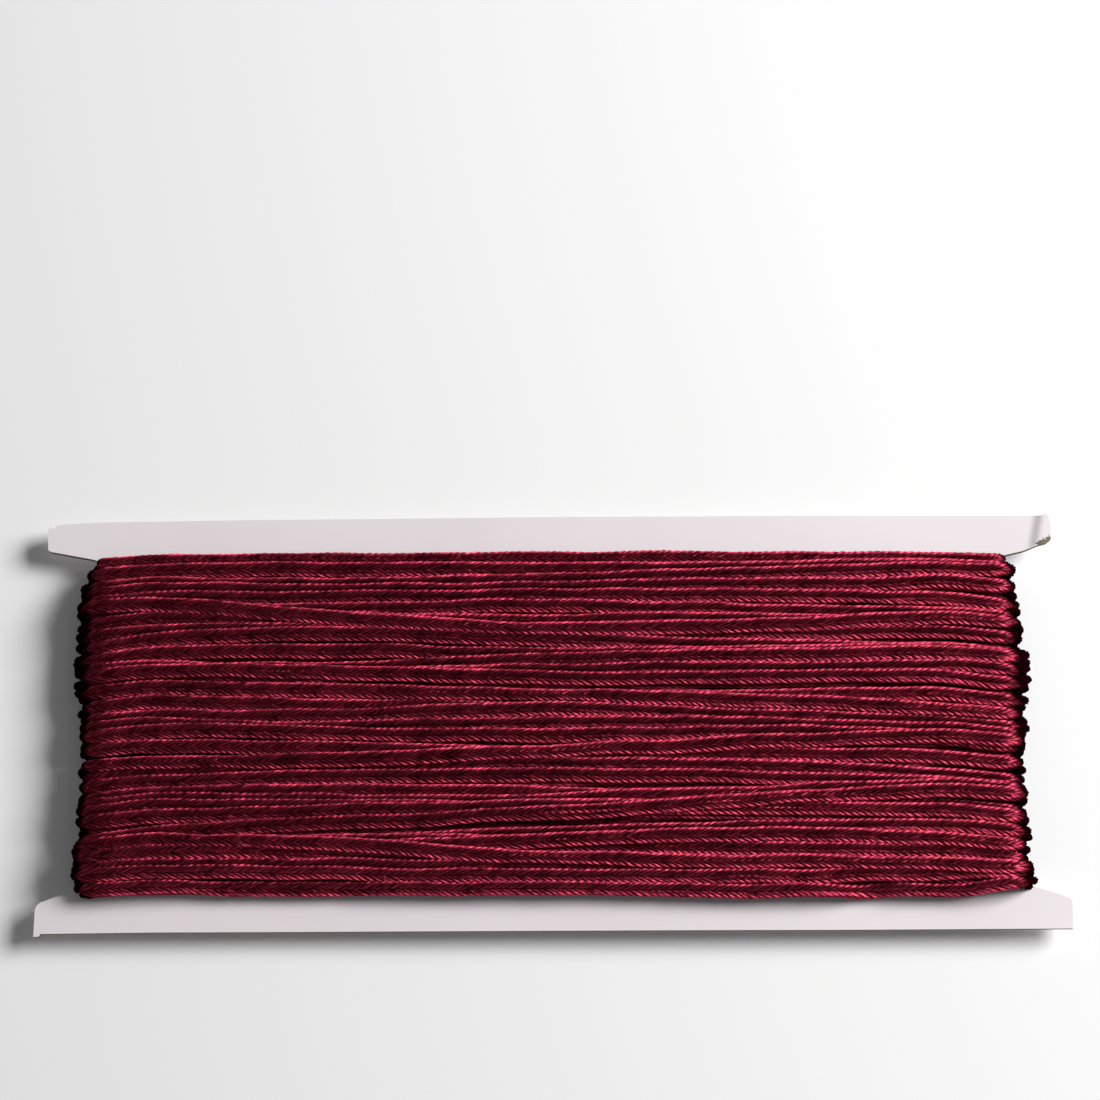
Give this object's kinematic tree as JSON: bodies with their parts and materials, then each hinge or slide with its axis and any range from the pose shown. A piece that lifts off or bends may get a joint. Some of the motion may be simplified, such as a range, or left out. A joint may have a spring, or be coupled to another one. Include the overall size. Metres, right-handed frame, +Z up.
{
  "type": "braid wound on a flat card",
  "caption": "Narrow wine-red ribbed braid wound side by side round the waist of a long flat white card with a flange along each edge.",
  "frame": {"origin": "on the flat surface the card lies on, under the middle of the object", "axes": "+X along the card to the right of the picture, +Y across it to the top of the picture, +Z up out of the front of the winding"},
  "size_m": [0.204, 0.0834, 0.01],
  "materials": {
    "board": "satin",
    "braid": "satin"
  },
  "bodies": {
    "root": {"card": "board", "winding": "braid"}
  },
  "joints": []
}
